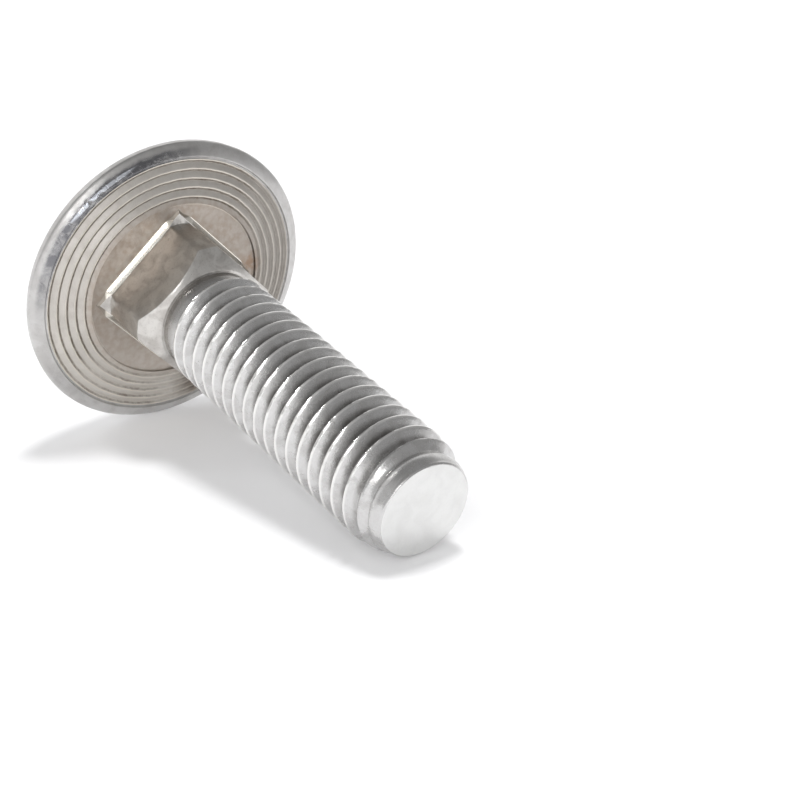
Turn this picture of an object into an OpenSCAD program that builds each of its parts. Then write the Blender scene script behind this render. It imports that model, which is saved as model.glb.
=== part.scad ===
// Carriage bolt: low domed head, square neck, thread to the neck, flat end.
// One forged piece lying on its side, at rest on the rim of the head and on
// the last full crest of the thread. Millimetres.

/* [Head] */
// Diameter of the head over the rim.
head_d = 21.2; // [20:0.1:22]
// Height of the dome above the plane of the seat land.
head_h = 4.6; // [4:0.1:5.2]
// Radius of the rounded lip of the rim.
lip_r = 0.62; // [0.5:0.02:0.7]
// Thickness of the rim, from the seat land to the edge of the dome.
rim_t = 1.15; // [1.1:0.05:1.4]
// Width of the rim, from its outside to the start of the ringed underside.
rim_w = 0.98; // [0.9:0.02:1.2]

/* [Underside] */
// Number of raised rings under the head.
ring_n = 5; // [3:1:6]
// Radial distance from ring to ring.
ring_gap = 0.62; // [0.4:0.02:0.66]
// Axial rise from ring to ring towards the neck.
ring_rise = 0.125; // [0.05:0.005:0.16]
// Drop on the inner side of each ring.
ring_drop = 0.06; // [0.03:0.01:0.1]

/* [Square neck] */
// Width over the flats of the square.
neck_w = 8.25; // [8:0.05:8.5]
// Width over the rounded corners of the square.
neck_e = 10.25; // [9.9:0.05:10.6]
// Distance from the seat land to the end of the full corners.
neck_len = 4.4; // [3.6:0.1:5]
// Length of the rounded chamfer at the thread side.
neck_cone = 0.9; // [0.6:0.05:1.2]
// Leg of the bevel round the foot of the square.
foot = 0.42; // [0.2:0.02:0.6]
// Turn of the square about the axis of the bolt, in degrees.
neck_turn = 47; // [0:1:90]

/* [Thread] */
// Length from the seat land to the end face.
length = 30; // [26:0.5:40]
// Diameter over the crests.
crest_d = 7.95; // [7.8:0.01:7.98]
// Diameter at the roots.
root_d = 6.5; // [6.4:0.02:6.7]
// Axial distance from crest to crest.
pitch = 1.25; // [1.2:0.05:1.3]
// Diameter of the plain collar between neck and thread.
collar_d = 7.25; // [7:0.05:7.5]
// Width of the narrow flat on a crest.
crest_w = 0.14; // [0.1:0.01:0.2]
// Length over which the crests shrink at the end.
lead_len = 3.4; // [2.4:0.1:4]
// Diameter of the flat end face.
end_d = 6.3; // [6:0.05:6.4]
// Start angle of the thread, in steps of a thirty-sixth of a turn.
thread_start = 28; // [0:1:35]

/* [Hidden] */
$fn = 120;
eps = 0.001;
// Turn of the seam of the head, clear of the line that the bolt lies on.
seam_turn = 1.8;
head_r = head_d / 2;
// Centre of the rounded lip in the section, as radius and axial position.
lip_c = [head_r - lip_r, -lip_r - 0.03];
// Edge between the dome and the side of the rim.
dome_edge = [head_r - 0.1, -rim_t];
dome_r = (pow(dome_edge[0], 2) + pow(head_h + dome_edge[1], 2)) / (2 * (head_h + dome_edge[1]));
lip_in_r = head_r - rim_w;
ring_r0 = lip_in_r - 0.22;
ring_y0 = -0.08;
// Flat floor round the foot of the neck.
floor_r = ring_r0 - (ring_n - 1) * ring_gap - 0.17;
floor_y = ring_y0 + (ring_n - 1) * ring_rise - 0.1;
collar_r = collar_d / 2;
neck_end = neck_len + neck_cone;
// Sphere that rounds the neck off, from the full corners to its small end.
neck_end_r = collar_r + 0.15;
ball_z = (pow(neck_e / 2, 2) - pow(neck_end_r, 2) + pow(neck_len, 2) - pow(neck_end, 2))
    / (2 * (neck_len - neck_end));
ball_r = norm([neck_e / 2, neck_len - ball_z]);
// Helical surface: steps in a turn, points in a pitch, first and last station.
steps = 36;
pts = 5;
thread_a = neck_end + 0.05;
thread_b = length - 0.22 - pitch;
rows = floor((thread_b - thread_a) / pitch * steps);
crest_r = crest_d / 2;
root_r = root_d / 2;
end_r = end_d / 2;
// Axial place and radius share of the points of one pitch, root to root.
prof = [[0, 0], [0.14 * pitch, 0.07], [(pitch - crest_w) / 2, 1],
        [(pitch + crest_w) / 2, 1], [0.86 * pitch, 0.07]];

function ease(t) = let (c = min(1, max(0, t))) c * c * (3 - 2 * c);
function root_at(i) = collar_r + (root_r - collar_r) * ease((i / steps - 0.3) / 1.1);
function crest_at(i, z) =
    let (lead = max(0, (z - (length - lead_len)) / lead_len),
         full = crest_r - (crest_r - end_r) * lead * lead,
         grow = ease((i / steps + 0.02) / 0.75),
         stop = ease((rows - i) / (0.4 * steps)),
         low = root_at(i))
    low + max(0, collar_r + (full - collar_r) * grow - low) * stop;
function helix_z(i, k) = thread_a + pitch * i / steps + prof[k][0];
function helix_r(i, k) =
    let (low = root_at(i)) i == 0 ? collar_r
        : low + (crest_at(i, helix_z(i, k)) - low) * prof[k][1];
function around(i) = 360 * (i + thread_start + 0.5) / steps;
function point(r, a, z) = [r * cos(a), r * sin(a), z];

// Rows of a crest on either side of the lowest line of the lying bolt.
low_rows = [for (i = [0 : rows]) if ((i + thread_start + 1) % steps < 2) i];
function tilt_for(r, z) =
    let (ax = z - lip_c[1], dr = lip_c[0] - r)
    atan2(dr, ax) + asin(lip_r / norm([ax, dr]));
// Tilt at which the first crest meets the surface that the rim stands on.
tilt = min([for (i = low_rows) tilt_for(helix_r(i, 3) * cos(180 / steps), helix_z(i, 3))]);
rest_h = lip_c[0] * cos(tilt) + lip_c[1] * sin(tilt) + lip_r;
x_min = (dome_r - head_h) * cos(tilt) - dome_r;
x_max = length * cos(tilt) + end_r * sin(tilt);

// Section of the head: dome, rim with its rounded lip, and seat land.
module head_section() {
    intersection() {
        translate([0, dome_r - head_h]) circle(r = dome_r, $fn = 360);
        translate([0, -head_h]) square([dome_edge[0], head_h - rim_t]);
    }
    translate(lip_c) circle(r = lip_r);
    polygon(concat(
        [[0, -rim_t - eps], [dome_edge[0], -rim_t - eps], dome_edge,
         [head_r - 0.012, lip_c[1]], [lip_c[0] + 0.2, lip_c[1] + 0.2],
         [lip_c[0] - 0.1, 0], [lip_in_r, 0], [lip_in_r - 0.1, ring_y0 - 0.09]],
        [for (i = [0 : ring_n - 1])
            let (r = ring_r0 - i * ring_gap, y = ring_y0 + i * ring_rise)
            each [[r + 0.035, y - 0.01], [r - 0.035, y],
                  [r - 0.13, y - ring_drop]]],
        [[floor_r, floor_y], [0, floor_y]]));
}

// Square neck with rounded corners, bevelled foot and chamfered end.
module neck() {
    rotate([0, 0, neck_turn]) {
        intersection() {
            translate([0, 0, floor_y - 0.2])
                linear_extrude(neck_end - floor_y + 0.2) square(neck_w, center = true);
            translate([0, 0, floor_y - 0.2]) cylinder(d = neck_e, h = neck_end - floor_y + 0.2);
            translate([0, 0, ball_z]) sphere(r = ball_r);
        }
        translate([0, 0, floor_y - 0.2])
            rotate([0, 0, 45])
                cylinder(d1 = (neck_w + 2 * foot + 0.4) * sqrt(2), d2 = neck_w * sqrt(2),
                         h = foot + 0.2, $fn = 4);
    }
}

// Thread as one closed helical surface, with a plain core end in the neck.
module thread() {
    cols = rows + steps;
    near = [for (j = [0 : steps - 1]) point(collar_r, around(j), neck_end - 0.9)];
    body = [for (i = [0 : rows], k = [0 : pts - 1])
            point(helix_r(i, k), around(i), helix_z(i, k))];
    last = [for (i = [rows + 1 : cols]) point(root_r, around(i), helix_z(i, 0))];
    ring = [for (j = [0 : steps - 1]) point(root_r, around(rows + j), length - 0.14)];
    face = [for (j = [0 : steps - 1]) point(end_r, around(rows + j), length)];
    b0 = steps;
    l0 = b0 + len(body);
    r0 = l0 + steps;
    f0 = r0 + steps;
    function at(i, k) = k < pts ? b0 + i * pts + k
        : i + steps <= rows ? b0 + (i + steps) * pts : l0 + i + steps - rows - 1;
    function edge(i) = i <= rows ? b0 + i * pts : l0 + i - rows - 1;
    function next(j) = (j + 1) % steps;
    polyhedron(
        points = concat(near, body, last, ring, face),
        faces = concat(
            [[for (j = [0 : steps - 1]) j]],
            [for (j = [0 : steps - 2]) each [[j, edge(j), edge(j + 1)], [j, edge(j + 1), j + 1]]],
            [[steps - 1, edge(steps - 1), 0]],
            [[0, edge(steps - 1), at(0, 0)]],
            [for (k = [0 : pts - 1]) [at(0, k), edge(steps - 1), at(0, k + 1)]],
            [for (i = [0 : rows - 1], k = [0 : pts - 1])
                each [[at(i, k), at(i, k + 1), at(i + 1, k)],
                      [at(i, k + 1), at(i + 1, k + 1), at(i + 1, k)]]],
            [for (k = [0 : pts - 1]) [at(rows, k), at(rows, k + 1), edge(rows + 1)]],
            [[edge(cols), r0, edge(rows + 1)], [r0, r0 + 1, edge(rows + 1)]],
            [for (j = [1 : steps - 1])
                each [[edge(rows + j), r0 + j, edge(rows + j + 1)],
                      [r0 + j, r0 + next(j), edge(rows + j + 1)]]],
            [for (j = [0 : steps - 1])
                each [[r0 + j, f0 + j, r0 + next(j)], [f0 + j, f0 + next(j), r0 + next(j)]]],
            [[for (j = [steps - 1 : -1 : 0]) f0 + j]]));
}

// The whole bolt, laid on its side as it comes to rest.
module carriage_bolt() {
    color([0.72, 0.72, 0.71])
        translate([-(x_min + x_max) / 2, 0, rest_h])
            rotate([0, 90 + tilt, 0]) {
                rotate([0, 0, seam_turn]) rotate_extrude() head_section();
                neck();
                thread();
            }
}

carriage_bolt();
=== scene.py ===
"""A carriage bolt lying on a white table, dressed for its picture.

The bolt is one forged piece of steel. It is shaped in millimetres in its own
coordinates, with z = 0 at the seat of the head and the end face at z = length,
and is laid on the table at the end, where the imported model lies.
"""

from __future__ import annotations

import logging
import math
from dataclasses import dataclass
from enum import Enum
from typing import Optional, Union

import bmesh
import bpy
from mathutils import Matrix, Vector, noise


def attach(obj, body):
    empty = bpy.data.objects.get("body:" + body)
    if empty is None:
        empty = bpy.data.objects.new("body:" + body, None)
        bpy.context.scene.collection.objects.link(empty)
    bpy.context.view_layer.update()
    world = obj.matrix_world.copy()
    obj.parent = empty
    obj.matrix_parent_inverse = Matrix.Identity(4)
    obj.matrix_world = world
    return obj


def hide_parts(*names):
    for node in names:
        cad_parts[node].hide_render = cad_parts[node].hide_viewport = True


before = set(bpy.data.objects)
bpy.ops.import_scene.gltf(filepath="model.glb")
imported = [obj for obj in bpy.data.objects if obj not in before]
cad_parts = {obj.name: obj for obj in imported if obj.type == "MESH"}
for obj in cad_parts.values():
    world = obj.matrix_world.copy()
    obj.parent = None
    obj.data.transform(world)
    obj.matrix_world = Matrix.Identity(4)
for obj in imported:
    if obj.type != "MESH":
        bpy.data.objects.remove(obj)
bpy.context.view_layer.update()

log = logging.getLogger("carriage_bolt")

Colour = tuple[float, float, float]

MILLIMETRE = 0.001
# Points in a ring of the bolt, and in one turn of its thread.
COLUMNS = 160
# Points closer than this are merged, in millimetres.
MERGED_WITHIN = 0.0004
# Edges that turn by more than this stay sharp, in degrees.
SHARP_FROM = 38
# Radius of the plain collar between neck and thread.
COLLAR_RADIUS = 3.625


class Region(Enum):
    """Regions of the bolt that the tools have left with a finish of their own."""

    DOME = 0
    RIM = 1
    UNDERSIDE = 2
    NECK = 3
    THREAD = 4
    END = 5
    FOOT = 6


class Value:
    """Output of a node that stands in arithmetic; each operation adds a Math node."""

    def __init__(self, plan: Plan, socket: bpy.types.NodeSocket) -> None:
        """Keeps the socket and the plan that it belongs to."""
        self.plan = plan
        self.socket = socket

    def __add__(self, other: Term) -> Value:
        """Sum."""
        return self.plan.math("ADD", self, other)

    def __radd__(self, other: Term) -> Value:
        """Sum with a number on the left."""
        return self.plan.math("ADD", other, self)

    def __sub__(self, other: Term) -> Value:
        """Difference."""
        return self.plan.math("SUBTRACT", self, other)

    def __rsub__(self, other: Term) -> Value:
        """Difference with a number on the left."""
        return self.plan.math("SUBTRACT", other, self)

    def __mul__(self, other: Term) -> Value:
        """Product."""
        return self.plan.math("MULTIPLY", self, other)

    def __rmul__(self, other: Term) -> Value:
        """Product with a number on the left."""
        return self.plan.math("MULTIPLY", other, self)

    def __truediv__(self, other: Term) -> Value:
        """Quotient."""
        return self.plan.math("DIVIDE", self, other)


Term = Union[Value, float, int]


class Plan:
    """Adds nodes to one node tree."""

    def __init__(self, tree: bpy.types.NodeTree) -> None:
        """Starts with an empty tree."""
        self.tree = tree
        tree.nodes.clear()

    def node(
        self,
        kind: str,
        settings: Optional[dict] = None,
        sockets: Optional[dict] = None,
        out: Union[int, str] = 0,
    ) -> Value:
        """Adds one node.

        Args:
            kind: The node's type.
            settings: Its settings, which are set first.
            sockets: Values or links by the name or number of the input.
            out: Name or number of the output that is wanted.

        Returns:
            The chosen output.
        """
        made = self.tree.nodes.new(kind)
        for key, value in (settings or {}).items():
            setattr(made, key, value)
        for key, value in (sockets or {}).items():
            if isinstance(value, Value):
                self.tree.links.new(value.socket, made.inputs[key])
            else:
                made.inputs[key].default_value = value
        return Value(self, made.outputs[out] if made.outputs else None)

    def math(self, operation: str, *terms: Term) -> Value:
        """Adds a Math node.

        Args:
            operation: Name of the operation.
            terms: Its values or links, in order.

        Returns:
            The result.
        """
        sockets = dict(enumerate(terms))
        return self.node("ShaderNodeMath", {"operation": operation}, sockets)

    def ramp(self, value: Term, low: float, high: float) -> Value:
        """Smooth step of a value.

        Args:
            value: The value that is stepped.
            low: Where the step is 0.
            high: Where the step is 1; it may lie below low.

        Returns:
            A share from 0 to 1.
        """
        settings = {"interpolation_type": "SMOOTHSTEP"}
        if low < high:
            return self.node("ShaderNodeMapRange", settings, {0: value, 1: low, 2: high})
        return 1 - self.node("ShaderNodeMapRange", settings, {0: value, 1: high, 2: low})

    def blend(self, share: Term, first: object, second: object) -> Value:
        """Mixes two colours.

        Args:
            share: How much of the second colour.
            first: Colour or link.
            second: Colour or link.

        Returns:
            The mixed colour.
        """
        sockets = {0: share, 6: first, 7: second}
        return self.node("ShaderNodeMix", {"data_type": "RGBA"}, sockets, 2)

    def parts(self, place: Value) -> tuple[Value, ...]:
        """X, Y and Z of a place."""
        kind = "ShaderNodeSeparateXYZ"
        return tuple(self.node(kind, None, {0: place}, axis) for axis in "XYZ")

    def noise(
        self, place: Value, scale: float, detail: float = 2.0, twist: float = 0.0
    ) -> Value:
        """Noise around 0.5 at a place.

        Args:
            place: Coordinates.
            scale: Waves in one unit of the coordinates.
            detail: Octaves.
            twist: Distortion.

        Returns:
            The noise.
        """
        sockets = {"Vector": place, "Scale": scale, "Detail": detail, "Distortion": twist}
        return self.node("ShaderNodeTexNoise", None, sockets)


class Recipe(Plan):
    """A Geometry Nodes tree with named inputs for its sizes."""

    def __init__(self, name: str, sizes: dict[str, Union[float, int]]) -> None:
        """Makes the tree and its named inputs.

        Args:
            name: Name of the tree.
            sizes: Value of each input; an int makes a whole-number input.
        """
        tree = bpy.data.node_groups.new(name, "GeometryNodeTree")
        super().__init__(tree)
        self.name = name
        self.sizes = sizes
        self.keys: dict[str, str] = {}
        face = tree.interface
        face.new_socket("Geometry", in_out="OUTPUT", socket_type="NodeSocketGeometry")
        for label, value in sizes.items():
            kind = "NodeSocketInt" if isinstance(value, int) else "NodeSocketFloat"
            item = face.new_socket(label, in_out="INPUT", socket_type=kind)
            self.keys[label] = item.identifier
        self.entry = tree.nodes.new("NodeGroupInput")

    def size(self, label: str) -> Value:
        """A named input of the tree."""
        return Value(self, self.entry.outputs[label])

    def close(self, geometry: Value, steel: bpy.types.Material) -> None:
        """Ends the tree in Realize Instances and Set Material.

        Args:
            geometry: The finished geometry.
            steel: Its material.
        """
        real = self.node("GeometryNodeRealizeInstances", None, {0: geometry})
        sockets = {"Geometry": real, "Material": steel}
        dressed = self.node("GeometryNodeSetMaterial", None, sockets)
        self.node("NodeGroupOutput", None, {0: dressed})

    def bake(self) -> bpy.types.Mesh:
        """Runs the tree at its sizes.

        Returns:
            A plain mesh with the points in the order of the grid.
        """
        host = bpy.data.objects.new(self.name, bpy.data.meshes.new(self.name))
        bpy.context.scene.collection.objects.link(host)
        modifier = host.modifiers.new(self.name, "NODES")
        modifier.node_group = self.tree
        for label, value in self.sizes.items():
            modifier[self.keys[label]] = value
        graph = bpy.context.evaluated_depsgraph_get()
        mesh = bpy.data.meshes.new_from_object(host.evaluated_get(graph))
        host.modifiers.clear()
        bpy.data.objects.remove(host)
        return mesh


class Shell:
    """Points and faces of the bolt before they become one mesh."""

    def __init__(self) -> None:
        """Starts empty."""
        self.points: list[Vector] = []
        self.faces: list[tuple[int, ...]] = []
        self.regions: list[Region] = []

    def add(self, points: list[Vector]) -> list[int]:
        """Adds points and returns their numbers."""
        first = len(self.points)
        self.points.extend(points)
        return list(range(first, len(self.points)))

    def face(self, corners: tuple[int, ...], region: Region) -> None:
        """Adds a face."""
        self.faces.append(corners)
        self.regions.append(region)

    def bridge(self, one: list[int], two: list[int], region: Region, ring: bool = True) -> None:
        """Joins two rows of points by four-sided faces.

        Args:
            one: First row.
            two: Second row, as long as the first.
            region: Finish of the faces.
            ring: Whether the rows are closed rings.
        """
        count = len(one)
        for j in range(count if ring else count - 1):
            k = (j + 1) % count
            self.face((one[j], one[k], two[k], two[j]), region)

    def fan(self, row: list[int], tip: int, region: Region, ring: bool = True) -> None:
        """Joins a row of points to one point.

        Args:
            row: The row.
            tip: The point.
            region: Finish of the faces.
            ring: Whether the row is a closed ring.
        """
        count = len(row)
        for j in range(count if ring else count - 1):
            self.face((row[j], row[(j + 1) % count], tip), region)

    def take(self, mesh: bpy.types.Mesh, region: Region) -> int:
        """Adds a baked mesh.

        Args:
            mesh: The mesh.
            region: Finish of its faces.

        Returns:
            Number of its first point.
        """
        first = self.add([vertex.co.copy() for vertex in mesh.vertices])[0]
        for polygon in mesh.polygons:
            self.face(tuple(first + i for i in polygon.vertices), region)
        return first

    def mesh(self, name: str, place: Matrix) -> bpy.types.Mesh:
        """Makes one closed mesh.

        Args:
            name: Name of the mesh.
            place: Where the bolt's own coordinates go.

        Returns:
            The mesh, with doubles merged and faces that point outwards.
        """
        mesh = bpy.data.meshes.new(name)
        mesh.from_pydata(self.points, [], self.faces)
        mesh.polygons.foreach_set("material_index", [r.value for r in self.regions])
        work = bmesh.new()
        work.from_mesh(mesh)
        bmesh.ops.remove_doubles(work, verts=work.verts, dist=MERGED_WITHIN)
        bmesh.ops.recalc_face_normals(work, faces=work.faces)
        work.transform(place)
        loose = [e for e in work.edges if not e.is_manifold]
        log.info("%s: %d faces, %d open edges", name, len(work.faces), len(loose))
        work.to_mesh(mesh)
        work.free()
        mesh.shade_smooth()
        mesh.set_sharp_from_angle(angle=math.radians(SHARP_FROM))
        return mesh


def around(radius: float, angle: float, height: float) -> Vector:
    """A point by its radius, its angle in radians and its height."""
    return Vector((radius * math.cos(angle), radius * math.sin(angle), height))


def softened(corners: list[tuple[float, float, float]], parts: int = 3) -> list[Vector]:
    """Rounds the inner corners of a section.

    Args:
        corners: Radius, height and rounding of each corner.
        parts: Pieces in each rounding.

    Returns:
        The points of the section, as many for any sizes.
    """
    line = [Vector(corners[0][:2])]
    for before, here, after in zip(corners, corners[1:], corners[2:]):
        corner = Vector(here[:2])
        back, on = Vector(before[:2]) - corner, Vector(after[:2]) - corner
        cut = min(here[2], 0.45 * back.length, 0.45 * on.length)
        start, end = corner + back.normalized() * cut, corner + on.normalized() * cut
        for k in range(parts + 1):
            t = k / parts
            line.append(start * (1 - t) ** 2 + corner * 2 * t * (1 - t) + end * t * t)
    return line + [Vector(corners[-1][:2])]


def soft_min(a: float, b: float, reach: float) -> float:
    """The lower of two values, rounded where they cross within a reach."""
    close = max(reach - abs(a - b), 0) / reach
    return min(a, b) - close ** 3 * reach / 6


def eased(value: float, low: float, high: float) -> float:
    """Smooth step of a number, from 0 at low to 1 at high."""
    share = min(1.0, max(0.0, (value - low) / (high - low)))
    return share * share * (3 - 2 * share)


@dataclass
class Head:
    """Domed head with a rolled lip and rings pressed into its underside."""

    diameter: float = 21.2
    height: float = 4.6
    lip: float = 0.62
    lip_drop: float = 0.03
    rim: float = 1.15
    edge_inset: float = 0.1
    edge_round: float = 0.12
    edge_slant: float = 0.86
    rim_slope: float = 0.47
    slope_points: int = 16
    slope_crowding: float = 1.4
    land: float = 9.7
    clear: float = 0.01
    crease_round: float = 0.04
    step_depth: float = 0.17
    step_width: float = 0.1
    step_round: float = 0.06
    rings: int = 5
    ring_inset: float = 0.185
    ring_depth: float = 0.09
    gap: float = 0.62
    rise: float = 0.125
    drop: float = 0.115
    ring_crowding: float = 0.65
    crown: float = 0.07
    crown_slope: float = 0.14
    crown_fall: float = 0.65
    crown_round: float = 0.012
    foot_reach: float = 1.6
    foot_round: float = 0.014
    wear: float = 0.014
    wear_size: float = 1.7
    floor_inset: float = 0.39
    floor_drop: float = 0.18
    ring_rows: int = 12
    dome_rows: int = 46
    dome_crowding: float = 0.85
    dome_stop: float = 0.985

    @property
    def radius(self) -> float:
        """Radius over the lip."""
        return self.diameter / 2

    @property
    def ring_start(self) -> float:
        """Radius at which the first ring starts."""
        return self.land - self.ring_inset

    @property
    def floor(self) -> tuple[float, float]:
        """Radius and height of the plain floor inside the rings."""
        steps = self.rings - 1
        radius = self.land - self.floor_inset - steps * self.gap
        return radius, steps * self.rise - self.floor_drop

    @property
    def dome_radius(self) -> float:
        """Radius of the sphere of the dome."""
        edge, depth = self.radius - self.edge_inset, self.height - self.rim
        return (edge * edge + depth * depth) / (2 * depth)

    def dome_line(self) -> list[Vector]:
        """Section of the dome from its crown to the edge of the rim."""
        sphere = self.dome_radius
        reach = math.asin((self.radius - self.edge_inset) / sphere)
        places = [k / self.dome_rows for k in range(1, self.dome_rows)]
        spread = [place ** self.dome_crowding for place in places]
        steps = [share * reach for share in spread if share < self.dome_stop]
        return [
            Vector((sphere * math.sin(t), sphere - self.height - sphere * math.cos(t)))
            for t in steps
        ]

    def rim_line(self) -> list[Vector]:
        """Section of the rim: rounded edge, tight lip, rounded slope and inner step."""
        wide = Vector((self.radius, -self.lip - self.lip_drop))
        inner, slant = self.radius - self.edge_inset, self.edge_slant * self.edge_inset
        corners = [
            (inner - self.edge_round, -self.rim - slant, 0),
            (inner, -self.rim, self.edge_round),
            (*wide, 0),
        ]
        edge = softened(corners, parts=5)
        crease = Vector((self.land, -self.clear))
        bend = Vector((self.radius, crease[1] - self.rim_slope * (self.radius - self.land)))
        slope = []
        for k in range(1, self.slope_points + 1):
            t = (k / self.slope_points) ** self.slope_crowding
            slope.append(wide * (1 - t) ** 2 + bend * 2 * t * (1 - t) + crease * t * t)
        step = softened(
            [
                (*slope[-2], 0),
                (*crease, self.crease_round),
                (self.land - self.step_width, -self.step_depth, self.step_round),
                (self.ring_start - self.clear, -self.ring_depth - self.clear, 0),
            ]
        )
        return edge + slope[:-2] + step

    def ring_recipe(self, steel: bpy.types.Material) -> Recipe:
        """Geometry Nodes tree of the rings under the head.

        Args:
            steel: Material that the tree sets.

        Returns:
            The tree, with its sizes as named inputs.
        """
        recipe = Recipe(
            "underside_rings",
            {
                "Ring Count": self.rings,
                "Rows In A Ring": self.ring_rows,
                "Columns": COLUMNS,
                "First Radius": self.ring_start,
                "First Height": -self.ring_depth,
                "Ring Gap": self.gap,
                "Ring Rise": self.rise,
                "Ring Drop": self.drop,
                "Crown Width": self.crown,
                "Edge Wear": self.wear,
            },
        )
        size, calc = recipe.size, recipe.math
        rows = size("Ring Count") * size("Rows In A Ring")
        sockets = {"Vertices X": size("Columns") + 1, "Vertices Y": rows}
        grid = recipe.node("GeometryNodeMeshGrid", None, sockets)
        index = recipe.node("GeometryNodeInputIndex") + 0.5
        column = calc("FLOOR", index / rows)
        row = calc("FLOOR", index - column * rows)
        ring = calc("FLOOR", (row + 0.5) / size("Rows In A Ring"))
        share = row / size("Rows In A Ring") - ring
        crowded = share * self.ring_crowding + (1 - self.ring_crowding)
        inward = size("Ring Gap") * share * crowded
        crown = inward * self.crown_slope - self.clear
        fall = (size("Crown Width") - inward) * self.crown_fall
        foot = size("Crown Width") + size("Ring Drop") * self.foot_reach
        climb = size("Ring Rise") + size("Ring Drop") - self.clear
        slope = climb / (size("Ring Gap") - foot)
        band = (inward - foot) * slope - size("Ring Drop")
        upper = calc("SMOOTH_MIN", crown, fall, self.crown_round)
        height = calc("SMOOTH_MAX", upper, band, self.foot_round)
        angle = column / size("Columns") * math.tau
        radius = size("First Radius") - ring * size("Ring Gap") - inward
        flat = {
            0: calc("COSINE", angle) * radius,
            1: calc("SINE", angle) * radius,
            2: size("First Height") + ring * size("Ring Rise") + height,
        }
        place = recipe.node("ShaderNodeCombineXYZ", None, flat)
        worn = recipe.noise(place, self.wear_size, 3.0) - 0.5
        flat[2] = flat[2] + worn * size("Edge Wear")
        place = recipe.node("ShaderNodeCombineXYZ", None, flat)
        moved = recipe.node("GeometryNodeSetPosition", None, {"Geometry": grid, "Position": place})
        recipe.close(moved, steel)
        return recipe

    def build(self, shell: Shell, steel: bpy.types.Material) -> list[int]:
        """Adds dome, rim and rings to the shell.

        Args:
            shell: Shell of the bolt.
            steel: Material for the ring tree.

        Returns:
            The last ring of points, where the floor starts.
        """
        angles = [math.tau * j / COLUMNS for j in range(COLUMNS)]
        rows = [(p, Region.DOME) for p in self.dome_line()]
        rows += [(p, Region.RIM) for p in self.rim_line()]
        last = shell.add([Vector((0, 0, -self.height))])
        for k, (point, region) in enumerate(rows):
            ring = shell.add([around(point[0], a, point[1]) for a in angles])
            if k == 0:
                shell.fan(ring, last[0], region)
            else:
                shell.bridge(last, ring, region)
            last = ring
        first = shell.take(self.ring_recipe(steel).bake(), Region.UNDERSIDE)
        rows_in_all = self.rings * self.ring_rows
        outer = [first + j * rows_in_all for j in range(COLUMNS)]
        inner = [first + (j + 1) * rows_in_all - 1 for j in range(COLUMNS)]
        shell.bridge(last, outer, Region.UNDERSIDE)
        return inner


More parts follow.
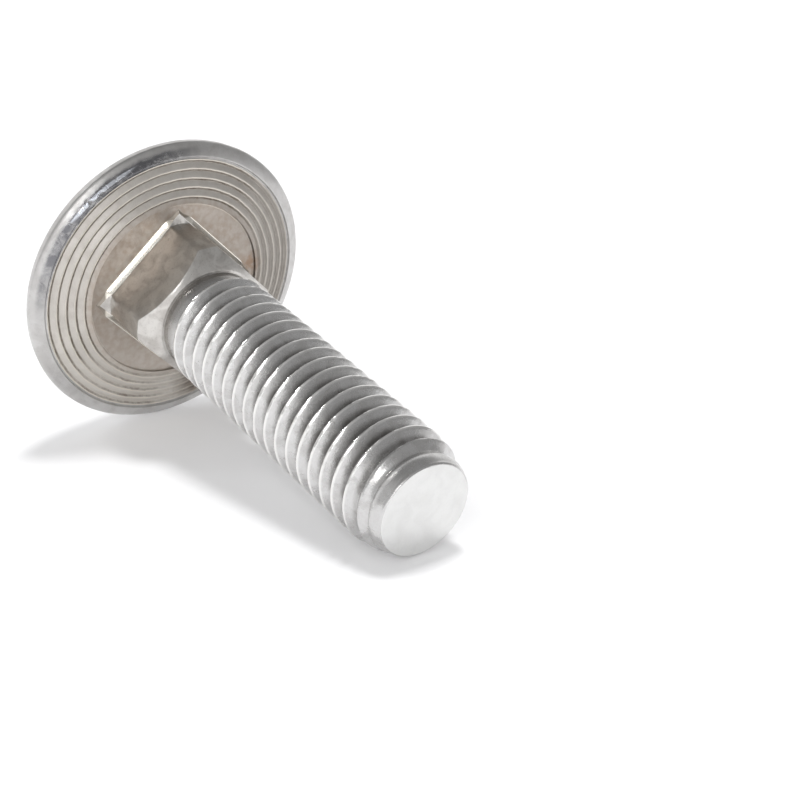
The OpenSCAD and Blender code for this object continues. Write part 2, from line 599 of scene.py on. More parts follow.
@dataclass
class Neck:
    """Square neck with rounded corners, a bevelled foot and a chamfered end."""

    width: float = 8.25
    corners: float = 10.25
    length: float = 4.4
    chamfer: float = 0.9
    chamfer_end: float = 3.775
    corner_round: float = 0.09
    edge_round: float = 0.04
    foot: float = 0.32
    foot_round: float = 0.05
    foot_fades_from: float = 34.0
    foot_fades_to: float = 42.0
    foot_at_corner: float = 0.5
    clear: float = 0.1
    step: float = 0.02
    collar_row: float = 0.035
    floor_shares: tuple[float, ...] = (0.0, 0.45, 0.8)
    floor_rows: int = 2
    foot_rows: int = 5
    bare_rows: int = 10
    die_wear: tuple[tuple[float, float], ...] = ((0.9, 0.05), (2.6, 0.022))
    wear_from: float = 0.02
    wear_radius: float = 5.0
    turn: float = 47.0
    start: float = 1.0
    side_rows: int = 20
    ball_rows: int = 8
    flat_angle: float = 35.0
    flat_columns: int = 14
    bend_columns: int = 2
    bend_step: float = 1.4
    corner_step: float = 1.8

    def column_angle(self, column: int) -> float:
        """Angle of a column from the middle of its flat.

        Args:
            column: Number of the column.

        Returns:
            Angle in degrees, from -45 at one corner to 45 at the next.
        """
        quarter = COLUMNS // 4
        place = column % quarter - quarter / 2
        side = math.copysign(1, place)
        step = abs(place)
        past = step - self.flat_columns
        if past <= 0:
            return side * self.flat_angle * step / self.flat_columns
        if past <= self.bend_columns:
            return side * (self.flat_angle + past * self.bend_step)
        bend = self.flat_angle + self.bend_columns * self.bend_step
        return side * (bend + (past - self.bend_columns) * self.corner_step)

    def ball_height(self, radius: float) -> float:
        """Height at which the sphere that rounds off the neck has a radius."""
        end = self.length + self.chamfer
        wide, small = (self.corners / 2) ** 2, self.chamfer_end ** 2
        centre = (wide - small + self.length ** 2 - end ** 2) / (2 * (self.length - end))
        return centre + math.sqrt(wide + (self.length - centre) ** 2 - radius * radius)

    def across(self, angle: float, half: float, sharp: bool = False) -> float:
        """Radius of the square at an angle from the middle of a flat.

        Args:
            angle: Angle in degrees.
            half: Half the width over the flats.
            sharp: Whether the corners are left sharp.

        Returns:
            The radius.
        """
        straight = half / math.cos(math.radians(angle))
        if sharp:
            return straight
        return soft_min(self.corners / 2, straight, self.corner_round)

    def column_line(self, angle: float, floor: float) -> list[Vector]:
        """Section of the neck at one angle, from the foot to the collar.

        Args:
            angle: Angle from the middle of the flat.
            floor: Height of the floor under the head.

        Returns:
            Radius and height of each point.
        """
        half = self.width / 2
        radius = self.across(angle, half)
        meet = self.ball_height(radius)
        share = eased(abs(angle), self.foot_fades_from, self.foot_fades_to)
        foot = self.foot * (1 - (1 - self.foot_at_corner) * share)
        top = floor + foot
        outer = self.across(angle, half + foot, True)
        line = softened(
            [
                (outer + self.clear, floor, 0),
                (outer, floor, self.foot_round),
                (self.across(angle, half, True), top, self.foot_round),
                (radius, top + self.step, 0),
            ]
        )[:-1]
        low, high = top + self.clear, meet - 2 * self.edge_round
        line += [
            Vector((radius, low + (high - low) * k / self.side_rows))
            for k in range(self.side_rows + 1)
        ]
        ball = []
        for k in range(self.ball_rows + 1):
            out = radius + (self.chamfer_end - radius) * k / self.ball_rows
            ball.append(Vector((out, self.ball_height(out))))
        edge = [(radius, high, 0), (radius, meet, self.edge_round), (*ball[1], 0)]
        line += softened(edge)[1:-1]
        line += ball[1:-1]
        end = self.length + self.chamfer
        edge = [(*ball[-2], 0), (*ball[-1], self.foot_round), (COLLAR_RADIUS, end + self.step, 0)]
        line += softened(edge)[1:-1]
        return line

    def worn(self, point: Vector) -> Vector:
        """Moves a point of the neck inwards by the dents of the forging dies."""
        waves = sum(noise.noise(point * scale) * depth for scale, depth in self.die_wear)
        push = 1 + min(0.0, waves - self.wear_from) / self.wear_radius
        return Vector((point[0] * push, point[1] * push, point[2]))

    def region(self, row: int) -> Region:
        """Finish of the faces below a row of points, counted from the floor."""
        if row < self.floor_rows:
            return Region.UNDERSIDE
        return Region.FOOT if row < self.floor_rows + self.foot_rows else Region.NECK

    def build(self, shell: Shell, inner: list[int], floor: tuple[float, float]) -> list[int]:
        """Adds the floor, the neck and its chamfer to the shell.

        Args:
            shell: Shell of the bolt.
            inner: Last ring of points of the head.
            floor: Radius and height of the floor.

        Returns:
            The last ring of points, at the collar.
        """
        sections = []
        quarter = COLUMNS // 4
        for j in range(COLUMNS):
            angle = self.column_angle(j)
            turn = math.radians(self.turn + angle + 90 * (j // quarter))
            sections.append((turn, self.column_line(angle, floor[1])))
        plain = [math.tau * j / COLUMNS for j in range(COLUMNS)]
        shift = round((self.turn - 45) / 360 * COLUMNS)
        last = [inner[(j + shift) % COLUMNS] for j in range(COLUMNS)]
        for share in self.floor_shares:
            ring = []
            for j, (turn, line) in enumerate(sections):
                even = plain[(j + shift) % COLUMNS]
                gap = (turn - even + math.pi) % math.tau - math.pi
                radius = floor[0] + (line[0][0] - floor[0]) * share
                ring.append(around(radius, even + gap * share, floor[1]))
            row = shell.add(ring)
            shell.bridge(last, row, Region.UNDERSIDE)
            last = row
        count = len(sections[0][1])
        for k in range(count):
            ring = []
            for turn, line in sections:
                point = around(line[k][0], turn, line[k][1])
                dented = self.region(k) is Region.NECK and k < count - self.bare_rows
                ring.append(self.worn(point) if dented else point)
            row = shell.add(ring)
            shell.bridge(last, row, self.region(k))
            last = row
        end = self.length + self.chamfer
        even = [math.radians(self.start + 360 * j / COLUMNS) for j in range(COLUMNS)]
        row = shell.add([around(COLLAR_RADIUS, a, end + self.collar_row) for a in even])
        shell.bridge(last, row, Region.NECK)
        return row


@dataclass
class Thread:
    """Rolled thread: one helical ribbon, with its run-in, its lead and the end face."""

    pitch: float = 1.25
    crest: float = 3.957
    crest_share: float = 0.1
    crest_wear: float = 0.03
    crowding: float = 0.55
    form_round: float = 0.1
    wear_size: float = 2.2
    wear_shares: tuple[float, float] = (0.52, 0.75)
    wear_height: float = 0.2
    crest_grown: float = 0.75
    crest_stop: float = 0.4
    root: float = 3.25
    root_share: float = 0.17
    root_falls: tuple[float, float] = (0.3, 1.4)
    first: float = 5.35
    length: float = 30.0
    lead: float = 3.4
    nose: float = 3.6
    nose_length: float = 1.6
    nose_blend: float = 1.3
    end: float = 3.15
    edge: float = 0.2
    bare_end: float = 0.22
    dish: float = 0.03
    dish_size: float = 0.8
    dish_from: float = 0.1
    dish_middle: float = 0.2
    turn: float = 285.0
    points: int = 16
    edge_rows: int = 8
    bright_rows: int = 2
    face_rows: int = 12

    @property
    def rows(self) -> int:
        """Rows of the ribbon from the collar to the end."""
        threaded = self.length - self.bare_end - self.pitch - self.first
        return int(threaded / self.pitch * COLUMNS)

    def recipe(self, steel: bpy.types.Material) -> Recipe:
        """Geometry Nodes tree of the helical ribbon.

        Args:
            steel: Material that the tree sets.

        Returns:
            The tree, with its sizes as named inputs.
        """
        recipe = Recipe(
            "rolled_thread",
            {
                "Rows": self.rows,
                "Steps In A Turn": COLUMNS,
                "Points In A Pitch": self.points,
                "Pitch": self.pitch,
                "Crest Radius": self.crest,
                "Root Radius": self.root,
                "Collar Radius": COLLAR_RADIUS,
                "First Height": self.first,
                "Length": self.length,
                "Lead Length": self.lead,
                "Nose Radius": self.nose,
                "Nose Length": self.nose_length,
                "End Radius": self.end,
                "Start Angle": math.radians(self.turn),
                "Crest Share": self.crest_share,
                "Root Share": self.root_share,
                "Crest Wear": self.crest_wear,
            },
        )
        size, calc = recipe.size, recipe.math
        across = size("Points In A Pitch") + 1
        sockets = {"Vertices X": size("Rows") + 1, "Vertices Y": across}
        grid = recipe.node("GeometryNodeMeshGrid", None, sockets)
        index = recipe.node("GeometryNodeInputIndex") + 0.5
        row = calc("FLOOR", index / across)
        column = calc("FLOOR", index - row * across)
        turn = row / size("Steps In A Turn")
        even = column / size("Points In A Pitch")
        share = even - calc("SINE", even * (2 * math.tau)) * (self.crowding / (2 * math.tau))
        along = turn + share
        height = size("First Height") + along * size("Pitch")
        off = calc("ABSOLUTE", share - 0.5) * 2
        flank = (1 - off - size("Root Share")) / (1 - size("Root Share") - size("Crest Share"))
        capped = calc("SMOOTH_MIN", flank, 1.0, self.form_round)
        form = calc("SMOOTH_MAX", capped, 0.0, self.form_round)
        past = calc("MAXIMUM", (height - size("Length")) / size("Nose Length") + 1, 0.0)
        nose = size("Nose Radius") - (size("Nose Radius") - size("End Radius")) * past * past
        cut = size("Root Radius") - size("Collar Radius")
        core = size("Collar Radius") + cut * recipe.ramp(along, *self.root_falls)
        before_nose = height - size("Length") + size("Nose Length")
        low = core + (nose - core) * recipe.ramp(before_nose, 0.0, self.nose_blend)
        lead = calc("MAXIMUM", (height - size("Length")) / size("Lead Length") + 1, 0.0)
        full = size("Crest Radius") - (size("Crest Radius") - size("End Radius")) * lead * lead
        growth = recipe.ramp(turn, 0.0, self.crest_grown)
        grown = size("Collar Radius") + (full - size("Collar Radius")) * growth
        to_go = (size("Rows") - row) / size("Steps In A Turn")
        stop = recipe.ramp(to_go, 0.0, self.crest_stop)
        tall = calc("MAXIMUM", grown - low, 0.0) * stop
        angle = size("Start Angle") + turn * math.tau
        radius = low + tall * form
        flat = {
            0: calc("COSINE", angle) * radius,
            1: calc("SINE", angle) * radius,
            2: height,
        }
        place = recipe.node("ShaderNodeCombineXYZ", None, flat)
        rough = recipe.noise(place, self.wear_size, 4.0)
        dent = recipe.ramp(rough, *self.wear_shares) * size("Crest Wear") * form
        radius = radius - dent * recipe.ramp(tall, 0.0, self.wear_height)
        flat[0] = calc("COSINE", angle) * radius
        flat[1] = calc("SINE", angle) * radius
        place = recipe.node("ShaderNodeCombineXYZ", None, flat)
        moved = recipe.node("GeometryNodeSetPosition", None, {"Geometry": grid, "Position": place})
        recipe.close(moved, steel)
        return recipe

    def nose_radius(self, height: float) -> float:
        """Radius of the rounded nose at a height."""
        past = min(1.0, max(0.0, (height - self.length) / self.nose_length + 1))
        return self.nose - (self.nose - self.end) * past * past

    def core(self, height: float) -> float:
        """Radius between the grooves at a height."""
        fall = eased((height - self.first) / self.pitch, *self.root_falls)
        core = COLLAR_RADIUS + (self.root - COLLAR_RADIUS) * fall
        before_nose = height - self.length + self.nose_length
        rounded = eased(before_nose, 0.0, self.nose_blend)
        return core + (self.nose_radius(height) - core) * rounded

    def build(
        self, shell: Shell, steel: bpy.types.Material, collar: list[int], start: float
    ) -> None:
        """Adds the thread and the end face to the shell.

        Args:
            shell: Shell of the bolt.
            steel: Material for the thread tree.
            collar: Last ring of points of the neck.
            start: Angle of the first point of that ring, in degrees.
        """
        across = self.points + 1
        first = shell.take(self.recipe(steel).bake(), Region.THREAD)
        last = first + self.rows * across
        self.run_in(shell, collar, start, first)
        top = self.length - self.edge
        ring = shell.add(
            [around(self.core(top), self.angle(self.rows + j), top) for j in range(COLUMNS)]
        )
        strips = [[*range(last, last + across), ring[0]]]
        for j in range(1, COLUMNS):
            side = first + (self.rows - COLUMNS + j) * across + self.points
            between = self.up_core(shell, self.rows + j, shell.points[side].z, top)
            strips.append([side, *between, ring[j]])
        for one, two in zip(strips, strips[1:]):
            shell.bridge(one, two, Region.THREAD, ring=False)
        tip = last + self.points
        shell.fan(strips[-1], tip, Region.THREAD, ring=False)
        shell.face((ring[-1], ring[0], tip), Region.THREAD)
        self.end_face(shell, ring)

    def angle(self, row: int) -> float:
        """Angle of a row of the ribbon, in radians."""
        return math.radians(self.turn + 360 * row / COLUMNS)

    def up_core(self, shell: Shell, row: int, low: float, high: float) -> list[int]:
        """Adds a line of points up the core.

        Args:
            shell: Shell of the bolt.
            row: Row of the ribbon that gives the angle.
            low: Height under the first point.
            high: Height over the last point.

        Returns:
            Numbers of the points, as many as in the width of the ribbon.
        """
        shares = [m / (self.points + 1) for m in range(1, self.points + 1)]
        rise = [low + (high - low) * share for share in shares]
        return shell.add([around(self.core(z), self.angle(row), z) for z in rise])

    def run_in(self, shell: Shell, collar: list[int], start: float, first: int) -> None:
        """Closes the wedge between the round collar and the first turn.

        Args:
            shell: Shell of the bolt.
            collar: Last ring of points of the neck.
            start: Angle of the first point of that ring, in degrees.
            first: First point of the ribbon.
        """
        across = self.points + 1
        shift = round((self.turn - start) / 360 * COLUMNS)
        ring = [collar[(i + shift) % COLUMNS] for i in range(COLUMNS)]
        strips = []
        for i in range(1, COLUMNS):
            side = first + i * across
            between = self.up_core(shell, i, shell.points[ring[i]].z, shell.points[side].z)
            strips.append([ring[i], *between, side])
        strips.append([ring[0], *range(first, first + across)])
        shell.fan(strips[0], first, Region.THREAD, ring=False)
        shell.face((ring[0], ring[1], first), Region.THREAD)
        for one, two in zip(strips, strips[1:]):
            shell.bridge(one, two, Region.THREAD, ring=False)

    def end_face(self, shell: Shell, ring: list[int]) -> None:
        """Closes the end by its bevel and a slightly uneven face.

        Args:
            shell: Shell of the bolt.
            ring: Last ring of points of the thread.
        """
        rim = self.nose_radius(self.length - self.edge)
        line = []
        for k in range(1, self.edge_rows + 1):
            turn = math.radians(90 * k / self.edge_rows)
            radius = rim - self.edge * (1 - math.cos(turn))
            line.append(Vector((radius, self.length - self.edge * (1 - math.sin(turn)))))
        flat = rim - self.edge
        shares = [k / self.face_rows for k in range(self.face_rows - 1, 0, -1)]
        line += [Vector((flat * share, self.length)) for share in shares]
        last = ring
        for k, point in enumerate(line):
            row = []
            for j in range(COLUMNS):
                here = around(point[0], self.angle(self.rows + j), point[1])
                waves = noise.noise(here * self.dish_size) - self.dish_from
                dent = min(0.0, waves) if k >= self.edge_rows else 0.0
                row.append(here + Vector((0, 0, self.dish * dent)))
            row = shell.add(row)
            rolled = k < self.edge_rows - self.bright_rows
            shell.bridge(last, row, Region.THREAD if rolled else Region.END)
            last = row
        middle = shell.add([Vector((0, 0, self.length - self.dish_middle * self.dish))])
        shell.fan(last, middle[0], Region.END)


@dataclass
class Rest:
    """How the bolt lies: on the lip of its head and on a crest near the end."""

    head: Head
    thread: Thread
    tilt: float = 13.4022

    @property
    def height(self) -> float:
        """Height of the middle of the seat above the table."""
        turn, lip = math.radians(self.tilt), self.head.lip
        out, back = self.head.radius - lip, lip + self.head.lip_drop
        return out * math.cos(turn) - back * math.sin(turn) + lip

    @property
    def middle(self) -> float:
        """How far the middle of the lying bolt is from the seat."""
        turn, sphere = math.radians(self.tilt), self.head.dome_radius
        crown = (sphere - self.head.height) * math.cos(turn) - sphere
        tip = self.thread.length * math.cos(turn) + self.thread.end * math.sin(turn)
        return (crown + tip) / 2

    @property
    def place(self) -> Matrix:
        """From the bolt's own millimetres to the table's metres."""
        turn = Matrix.Rotation(math.radians(90 + self.tilt), 4, "Y")
        move = Matrix.Translation(Vector((-self.middle, 0, self.height)) * MILLIMETRE)
        return move @ turn @ Matrix.Scale(MILLIMETRE, 4)


class Marks(Enum):
    """What the tools have left on a region besides its grain, with the light and shade painted on
    some regions.
    """

    PLAIN = 0
    TURNED = 1
    RINGED = 2
    ROLLED = 3
    SCALED = 4
    PRESSED = 5


class Tone(Enum):
    """Colours that the marks lay over the plain steel; some are painted light and shade."""

    # Grime and painted shade in the grooves of the thread.
    THREAD_GRIME_AND_SHADE = (0.22, 0.21, 0.2)
    WORN_CREST = (0.9, 0.89, 0.87)
    # Painted shade over the collar.
    COLLAR_SHADE = (0.3, 0.28, 0.26)
    # Pitted scale and painted shade: a dark band on one side of the rim, partly a painted dark
    # reflection.
    RIM_SCALE_AND_PAINTED_SHADE = (0.16, 0.16, 0.175)
    # Painted highlight: a bright glint streak on the rim.
    PAINTED_RIM_GLINT = (0.9, 0.93, 1.0)
    FOOT_CORNER = (0.3, 0.26, 0.22)
    WARM_STAIN = (0.42, 0.345, 0.285)
    # Painted shade on one side of the underside.
    PAINTED_SHADE_SIDE = (0.33, 0.305, 0.28)
    # Painted light on the other side of the underside.
    PAINTED_LIT_SIDE = (0.86, 0.82, 0.76)
    RUST = (0.33, 0.22, 0.15)
    # Painted shade cast by the thread on the underside.
    PAINTED_THREAD_SHADE = (0.17, 0.13, 0.1)
    # Grime and painted shade in the grooves of the rings.
    RING_GRIME_AND_SHADE = (0.22, 0.18, 0.145)
    PIT = (0.1, 0.08, 0.06)
    # Painted highlight on the crowns of the rings.
    PAINTED_RING_HIGHLIGHT = (0.82, 0.77, 0.68)


@dataclass
class Coat:
    """A material on its way: where a point lies, and how it looks so far."""

    head: Head
    plan: Plan
    place: Value
    cloud: Value
    colour: Value
    rough: Value
    height: Value

    def __post_init__(self) -> None:
        """Works out the distance from the axis."""
        self.x, self.y, self.z = self.plan.parts(self.place)
        self.radius = self.plan.math("SQRT", self.x * self.x + self.y * self.y)

    def noise(self, scale: float, detail: float = 2.0, twist: float = 0.0) -> Value:
        """Noise around 0.5 over the surface, with waves in a millimetre and octaves."""
        return self.plan.noise(self.place, scale, detail, twist)

    def towards(self, x: float, y: float) -> Value:
        """How far a point lies to one side of the axis."""
        return self.x * x + self.y * y

    def spot(self, at: tuple[float, float], size: float) -> Value:
        """A soft round stain across the axis.

        Args:
            at: Middle of the stain.
            size: Its radius.

        Returns:
            Share from 0 to 1.
        """
        x, y = self.x - at[0], self.y - at[1]
        return self.plan.ramp(self.plan.math("SQRT", x * x + y * y), size, size * 0.2)

    def paint(self, share: Term, tone: Tone) -> None:
        """Lays a colour over the colour so far."""
        self.colour = self.plan.blend(share, self.colour, (*tone.value, 1))

    def mark(self, marks: Marks) -> None:
        """Adds what the tools have left, and the painted light and shade."""
        makers = {
            Marks.TURNED: self.turned,
            Marks.RINGED: self.ringed,
            Marks.ROLLED: self.rolled,
            Marks.SCALED: self.scale_and_painted_light,
            Marks.PRESSED: self.pressed,
        }
        if marks in makers:
            makers[marks]()

    def turned(self) -> None:
        """Fine rings round the crown, as the heading die leaves them."""
        waved = self.radius + self.noise(0.9) * 0.5
        ring = self.plan.math("SINE", waved * (math.tau / 0.16)) * 0.5 + 0.5
        self.height = self.height + ring * self.plan.ramp(waved, 3.2, 1.9) * 0.006

    def ringed(self) -> None:
        """Painted highlights on the crowns, grime and painted shade in the grooves, painted light
        and shade on the sides, and stains of the pressed underside.
        """
        head, ramp = self.head, self.plan.ramp
        start = head.ring_start - 0.06
        turns = (start - self.radius + self.noise(1.4, 3.0) * 0.12) / head.gap
        phase = self.plan.math("FRACT", turns)
        inside = ramp(turns, -0.1, 0.0) * ramp(turns, head.rings + 0.1, head.rings)
        uneven = ramp(self.noise(2.4, 3.0), 0.3, 0.7)
        # Side share with slow noise: the painted groove shade and crown highlight are stronger on
        # one side.
        side = ramp(self.noise(0.16, 1.0) + self.towards(-0.6, -0.8) * 0.035, 0.4, 0.7)
        crown = ramp(phase, 0.16, 0.08) * inside * (side * 0.5 + 0.3)
        groove_shade = ramp(phase, 0.1, 0.2) * ramp(phase, 0.46, 0.28) * inside
        groove_shade = groove_shade * (uneven * 0.5 + 0.5) * (side * 0.8 + 0.2)
        pit = ramp(self.noise(7.0), 0.62, 0.7) * groove_shade
        self.paint(ramp(self.radius, 7.3, 6.3) * (uneven * 0.5 + 0.4), Tone.WARM_STAIN)
        # Painted shade on one side of the underside and painted light towards its lower side,
        # where the lamps leave it darker and lighter.
        self.paint(ramp(self.towards(-0.3, 1.0), 3.0, 9.0) * 0.55, Tone.PAINTED_SHADE_SIDE)
        self.paint(ramp(self.towards(1.0, -0.3), 3.0, 9.0) * 0.5, Tone.PAINTED_LIT_SIDE)
        self.paint(self.spot((-0.9, 6.0), 1.3) * (uneven * 0.5 + 0.3), Tone.RUST)
        # Painted shade: a dark patch near the bottom of the underside, where the thread shades it.
        self.paint(self.spot((7.8, 3.2), 3.2) * (uneven * 0.2 + 0.75), Tone.PAINTED_THREAD_SHADE)
        # Grime and painted shade in the grooves, with pits in them.
        self.paint(groove_shade, Tone.RING_GRIME_AND_SHADE)
        self.paint(pit * 0.7, Tone.PIT)
        # Painted highlight on the crowns.
        self.paint(crown, Tone.PAINTED_RING_HIGHLIGHT)

    def rolled(self) -> None:
        """Grime and painted shade in the grooves of the thread, bright worn crests and painted
        shade over the collar.
        """
        ramp = self.plan.ramp
        worn = ramp(self.radius, 3.84, 3.94)
        # Grime and painted shade, darker in the grooves of the thread.
        groove_shade = ramp(self.radius, 3.6, 3.3) * ramp(self.z, 28.2, 27.4)
        self.paint(groove_shade * (self.cloud * 0.5 + 0.4), Tone.THREAD_GRIME_AND_SHADE)
        self.paint(worn * 0.85, Tone.WORN_CREST)
        # Painted shade: a darker band over the collar.
        self.paint(ramp(self.z, 6.5, 5.9) * 0.75, Tone.COLLAR_SHADE)
        self.rough = self.rough - worn * 0.1

    def scale_and_painted_light(self) -> None:
        """Pitted scale with a painted dark reflection on one side of the rim's slope, and a
        painted glint streak there.
        """
        ramp = self.plan.ramp
        waved = self.radius + self.noise(1.1) * 0.16
        # Painted shade: the dark band lies on one side of the rim only, with pits mixed in.
        band = ramp(waved, 10.46, 10.18) * ramp(self.towards(-0.74, -0.67), 5.2, 9.2)
        pits = ramp(self.noise(1.6, 4.0, 0.8), 0.3, 0.62)
        # Painted highlight: a bright glint streak on the same side of the rim.
        painted_glint = ramp(self.towards(-0.8, -0.6), 9.55, 9.8) * ramp(pits, 0.3, 0.5)
        painted_glint = painted_glint * ramp(self.radius, 9.82, 9.9) * ramp(self.radius, 10.12, 10.04)
        self.paint(band * (pits * 0.4 + 0.5), Tone.RIM_SCALE_AND_PAINTED_SHADE)
        self.paint(painted_glint * 0.9, Tone.PAINTED_RIM_GLINT)
        self.height = self.height + band * pits * 0.02
        self.rough = self.rough - band * 0.14

    def pressed(self) -> None:
        """Dull corners of the bright bevel at the foot of the neck."""
        corner = self.plan.ramp(self.radius, 5.35, 5.5)
        self.paint(corner * 0.9, Tone.FOOT_CORNER)
        self.rough = self.rough + corner * 0.3


@dataclass(frozen=True)
class SteelFinish:
    """Finish of one region of the bolt, in stainless steel."""

    name: str
    marks: Marks = Marks.PLAIN
    colour: Colour = (0.62, 0.61, 0.6)
    stain: Colour = (0.4, 0.385, 0.37)
    staining: float = 0.5
    stain_size: float = 0.9
    gloss: tuple[float, float] = (0.26, 0.42)
    grain: float = 0.003
    grain_size: float = 9.0
    dents: float = 0.01
    dent_size: float = 1.6
    metal: float = 1.0

    def make(self, rest: Rest) -> bpy.types.Material:
        """Builds the material.

        Args:
            rest: How the bolt lies, which centres the patterns on its axis.

        Returns:
            The material.
        """
        material = bpy.data.materials.new(self.name)
        material.use_nodes = True
        coat = self.coat(Plan(material.node_tree), rest)
        coat.mark(self.marks)
        sockets = {"Height": coat.height, "Distance": MILLIMETRE, "Strength": 1.0}
        sockets = {
            "Base Color": coat.colour,
            "Roughness": coat.rough,
            "Metallic": self.metal,
            "Normal": coat.plan.node("ShaderNodeBump", None, sockets),
        }
        surface = coat.plan.node("ShaderNodeBsdfPrincipled", None, sockets)
        coat.plan.node("ShaderNodeOutputMaterial", None, {"Surface": surface})
        return material

    def coat(self, plan: Plan, rest: Rest) -> Coat:
        """Plain stained steel, before the marks of the tools.

        Args:
            plan: Plan of the material.
            rest: How the bolt lies.

        Returns:
            The coat, whose places are the bolt's own millimetres.
        """
        sockets = {
            "Vector": plan.node("ShaderNodeTexCoord", None, None, "Object"),
            "Location": rest.place.to_translation(),
            "Rotation": (0, math.radians(90 + rest.tilt), 0),
            "Scale": (MILLIMETRE, MILLIMETRE, MILLIMETRE),
        }
        place = plan.node("ShaderNodeMapping", {"vector_type": "TEXTURE"}, sockets)
        cloud = plan.ramp(plan.noise(place, self.stain_size, 5.0, 0.6), 0.36, 0.68)
        speck = plan.ramp(plan.noise(place, self.stain_size * 7, 3.0), 0.5, 0.72)
        share = (cloud * 0.7 + speck * 0.3) * self.staining
        uneven = plan.noise(place, self.stain_size * 3, 4.0) * 0.6 + cloud * 0.4
        grain = plan.noise(place, self.grain_size, 3.0)
        dent = plan.noise(place, self.dent_size, 2.0, 0.3)
        low, high = self.gloss
        return Coat(
            rest.head,
            plan,
            place,
            cloud,
            colour=plan.blend(share, (*self.colour, 1), (*self.stain, 1)),
            rough=low + uneven * (high - low),
            height=grain * self.grain + dent * self.dents,
        )


FINISHES: dict[Region, SteelFinish] = {
    Region.DOME: SteelFinish("satin_dome", Marks.TURNED, staining=0.22),
    Region.RIM: SteelFinish("rolled_rim", Marks.SCALED, gloss=(0.28, 0.44), dents=0.012),
    Region.UNDERSIDE: SteelFinish(
        "pressed_underside",
        Marks.RINGED,
        colour=(0.6, 0.57, 0.53),
        stain=(0.45, 0.415, 0.38),
        gloss=(0.34, 0.5),
        grain=0.004,
        dents=0.025,
        dent_size=2.4,
        metal=0.8,
    ),
    Region.NECK: SteelFinish(
        "forged_neck",
        colour=(0.7, 0.68, 0.65),
        stain=(0.4, 0.375, 0.35),
        staining=0.8,
        gloss=(0.24, 0.42),
        dents=0.03,
    ),
    Region.THREAD: SteelFinish(
        "rolled_thread",
        Marks.ROLLED,
        colour=(0.67, 0.665, 0.66),
        gloss=(0.2, 0.34),
        grain=0.005,
        dents=0.006,
    ),
    Region.END: SteelFinish(
        "cropped_end", colour=(0.82, 0.82, 0.81), gloss=(0.36, 0.48), staining=0.12
    ),
    Region.FOOT: SteelFinish(
        "pressed_foot",
        Marks.PRESSED,
        colour=(0.92, 0.89, 0.82),
        stain=(0.85, 0.7, 0.5),
        staining=0.3,
        gloss=(0.14, 0.2),
        grain=0.0,
        dents=0.0,
    ),
}


@dataclass
class CarriageBolt:
    """The whole bolt: head, square neck and thread in one closed shell."""

    head: Head
    neck: Neck
    thread: Thread

    @property
    def rest(self) -> Rest:
        """How this bolt lies."""
        return Rest(self.head, self.thread)

    def build(self) -> bpy.types.Object:
        """Builds the bolt and dresses it.

        Returns:
            The finished piece.
        """
        rest = self.rest
        steels = {region: FINISHES[region].make(rest) for region in Region}
        shell = Shell()
        inner = self.head.build(shell, steels[Region.UNDERSIDE])
        collar = self.neck.build(shell, inner, self.head.floor)
        self.thread.build(shell, steels[Region.THREAD], collar, self.neck.start)
        mesh = shell.mesh("forged_bolt", rest.place)
        for region in Region:
            mesh.materials.append(steels[region])
        bolt = bpy.data.objects.new("forged_bolt", mesh)
        bpy.context.scene.collection.objects.link(bolt)
        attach(bolt, "root")
        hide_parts("carriage_bolt")
        return bolt


@dataclass(frozen=True)
class Softbox:
    """A square soft lamp that faces the bolt, with its power in watts."""

    name: str
    at: tuple[float, float, float]
    size: float
    power: float
    mirrored: bool = True

    def hang(self) -> bpy.types.Object:
        """Hangs the lamp.

        Returns:
            The lamp, which shows in the steel as a bright patch if it is mirrored.
        """
        data = bpy.data.lights.new(self.name, "AREA")
        data.energy = self.power
        data.size = self.size
        lamp = bpy.data.objects.new(self.name, data)
        lamp.location = self.at
        lamp.rotation_euler = (-Vector(self.at)).to_track_quat("-Z", "Y").to_euler()
        lamp.visible_glossy = self.mirrored
        bpy.context.scene.collection.objects.link(lamp)
        return lamp


LAMPS = (
    Softbox("overhead_softbox", (-0.04, 0.17, 1.3), 0.28, 8.5, mirrored=False),
    Softbox("low_fill", (0.7, -0.83, 0.5), 0.8, 6.0, mirrored=False),
    Softbox("key_lamp", (-0.62, -0.49, 0.9), 0.07, 0.6),
    Softbox("front_softbox", (1.0, -0.57, 0.32), 0.3, 1.4),
)


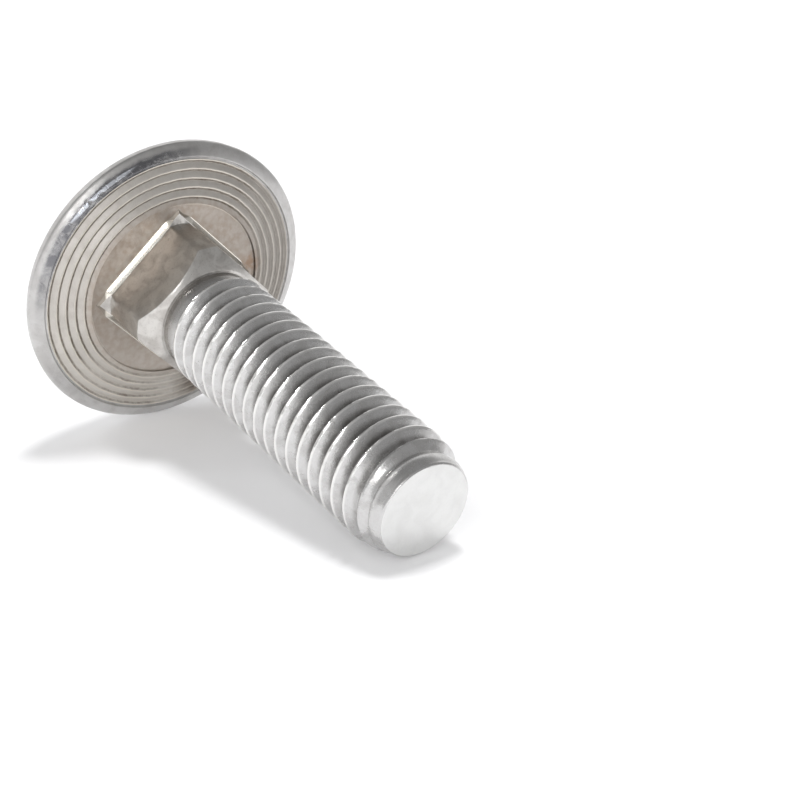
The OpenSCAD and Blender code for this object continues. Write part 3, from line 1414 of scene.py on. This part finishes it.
@dataclass
class Studio:
    """White table, pale room and the camera, in metres and degrees."""

    table: float = 3.0
    table_colour: Colour = (0.86, 0.86, 0.87)
    glow: float = 0.12
    wall: float = 0.6
    far_wall: float = 1.0
    doorway: float = 0.36
    ceiling: float = 0.3
    camera_at: tuple[float, float, float] = (0.09281, -0.058023, 0.04432)
    camera_elevation: float = 19.7135
    camera_azimuth: float = -36.5674
    lens: float = 79.764
    shift: tuple[float, float] = (-0.0044, 0.0019)

    def seen(self, plan: Plan) -> Value:
        """1 for rays that show the background: camera, glossy and transmission rays."""
        names = ("Is Camera Ray", "Is Glossy Ray", "Is Transmission Ray")
        rays = [plan.node("ShaderNodeLightPath", None, None, name) for name in names]
        return plan.math("MINIMUM", rays[0] + rays[1] + rays[2], 1.0)

    def lay_table(self) -> bpy.types.Object:
        """Builds the white table top.

        Returns:
            The table top.
        """
        half = self.table / 2
        mesh = bpy.data.meshes.new("table")
        corners = [(-half, -half, 0), (half, -half, 0), (half, half, 0), (-half, half, 0)]
        mesh.from_pydata(corners, [], [(0, 1, 2, 3)])
        material = bpy.data.materials.new("white_table")
        material.use_nodes = True
        plan = Plan(material.node_tree)
        sockets = {
            "Base Color": (*self.table_colour, 1),
            "Roughness": 0.5,
            "Specular IOR Level": 0.2,
            "Emission Color": self.seen(plan) * self.glow,
            "Emission Strength": 1.0,
        }
        surface = plan.node("ShaderNodeBsdfPrincipled", None, sockets)
        plan.node("ShaderNodeOutputMaterial", None, {"Surface": surface})
        mesh.materials.append(material)
        table = bpy.data.objects.new("table", mesh)
        bpy.context.scene.collection.objects.link(table)
        return table

    def light_world(self) -> None:
        """Pale walls, a dimmer ceiling and a dark doorway on one side."""
        world = bpy.data.worlds.new("studio")
        world.use_nodes = True
        plan = Plan(world.node_tree)
        x, y, z = plan.parts(plan.node("ShaderNodeTexCoord", None, None, "Generated"))
        ceiling = plan.ramp(z, 0.55, 0.9)
        far_wall = plan.ramp(x * -0.94 + y * 0.34, 0.1, 0.6)
        doorway = plan.ramp(x * 0.79 + y * 0.61, 0.35, 0.8)
        walls = self.wall + far_wall * (self.far_wall - self.wall)
        walls = walls - (walls - self.doorway) * doorway
        level = walls - (walls - self.ceiling) * ceiling
        colour = plan.blend(level, (0, 0, 0, 1), (1, 1, 1, 1))
        background = plan.node("ShaderNodeBackground", None, {"Color": colour, "Strength": 1.0})
        plan.node("ShaderNodeOutputWorld", None, {"Surface": background})
        bpy.context.scene.world = world

    def place_camera(self) -> bpy.types.Object:
        """Sets up the camera at the picture's place.

        Returns:
            The camera.
        """
        data = bpy.data.cameras.new("camera")
        data.lens = self.lens
        data.sensor_width = 36.0
        data.shift_x, data.shift_y = self.shift
        data.clip_start = MILLIMETRE
        camera = bpy.data.objects.new("camera", data)
        camera.location = self.camera_at
        down, turn = 90 - self.camera_elevation, 90 + self.camera_azimuth
        camera.rotation_euler = (math.radians(down), 0, math.radians(turn))
        bpy.context.scene.collection.objects.link(camera)
        bpy.context.scene.camera = camera
        return camera

    def build(self) -> bpy.types.Object:
        """Builds the camera, the table, the room and the lamps.

        Returns:
            The table top.
        """
        self.place_camera()
        table = self.lay_table()
        self.light_world()
        for lamp in LAMPS:
            lamp.hang()
        bpy.context.scene.view_settings.view_transform = "Standard"
        return table


def main() -> None:
    """Builds the studio and the bolt, and notes the sizes."""
    logging.basicConfig(level=logging.INFO, format="%(name)s: %(message)s")
    table = Studio().build()
    bolt = CarriageBolt(Head(), Neck(), Thread()).build()
    for piece in (table, bolt):
        log.info("%s: %d points", piece.name, len(piece.data.vertices))


if __name__ == "__main__":
    main()
